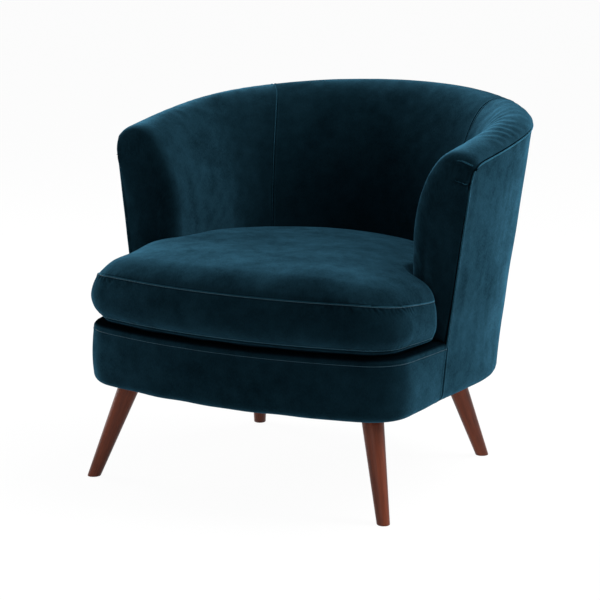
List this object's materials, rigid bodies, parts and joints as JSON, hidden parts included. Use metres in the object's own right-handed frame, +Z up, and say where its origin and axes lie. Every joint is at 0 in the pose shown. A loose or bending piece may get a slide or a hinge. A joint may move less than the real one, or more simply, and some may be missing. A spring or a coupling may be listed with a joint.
{
  "type": "upholstered tub armchair",
  "caption": "Low tub armchair in velvet with a flared wraparound shell, a loose crowned seat cushion with two ears, and splayed tapered wooden legs.",
  "frame": {"origin": "centre of the chair's footprint box, on the floor", "axes": "+X to the right as seen from the front, +Y towards the back of the chair, +Z up; left and right in the node names are as seen from the front"},
  "size_m": [0.787, 0.771, 0.719],
  "materials": {
    "velvet": "cut pile, soft sheen",
    "leg_wood": "stained and lacquered, semi gloss",
    "plywood": "raw",
    "fibreboard": "raw",
    "foam": "open cell",
    "wadding": "lofty fibre",
    "webbing": "woven",
    "felt": "needled",
    "lining": "thin non-woven",
    "steel": "zinc plated"
  },
  "bodies": {
    "chair": {"outside_cover_left": "velvet", "outside_cover_back": "velvet", "outside_cover_right": "velvet", "inside_cover_left": "velvet", "inside_cover_back": "velvet", "inside_cover_right": "velvet", "border_cover": "velvet", "leg_front_left": "leg_wood", "leg_front_right": "leg_wood", "leg_back_left": "leg_wood", "leg_back_right": "leg_wood", "bottom_ring": "plywood", "seat_ring": "plywood", "edge_strip": "plywood", "front_rail": "plywood", "spacer_blocks": "plywood", "leg_block_front_left": "plywood", "leg_block_front_right": "plywood", "leg_block_back_left": "plywood", "leg_block_back_right": "plywood", "arm_post_left": "plywood", "arm_post_right": "plywood", "ribs_left": "plywood", "ribs_right": "plywood", "rib_back": "plywood", "top_rail": "plywood", "outer_board_left": "fibreboard", "outer_board_back": "fibreboard", "outer_board_right": "fibreboard", "inside_foam": "foam", "arm_pad_left": "foam", "arm_pad_right": "foam", "border_foam": "foam", "deck_foam": "foam", "outer_wadding": "wadding", "back_webbing": "webbing", "deck_felt": "felt", "deck_cover": "lining", "dust_cover": "lining", "hanger_bolts": "steel", "threaded_inserts": "steel", "spring_clips": "steel", "tie_wires": "steel", "seat_spring_1": "steel", "seat_spring_2": "steel", "seat_spring_3": "steel", "seat_spring_4": "steel", "seat_spring_5": "steel"},
    "seat_cushion": {"cushion_core": "foam", "cushion_top_pad": "wadding", "cushion_side_pad": "wadding", "cushion_bottom_pad": "wadding", "cushion_top_panel": "velvet", "cushion_boxing": "velvet", "cushion_bottom_panel": "velvet", "cushion_zip": "lining"},
    "zip_pull": {"zip_slider": "steel"}
  },
  "joints": [
    {"name": "cushion_lift", "type": "slide", "parent": "chair", "child": "seat_cushion", "axis": [0, 0, 1], "range_m": [0, 0.45]},
    {"name": "zip_run", "type": "hinge", "parent": "seat_cushion", "child": "zip_pull", "pos_m": [0, -0.04751, 0.356], "axis": [0, 0, 1], "range_deg": [0, 72]}
  ]
}
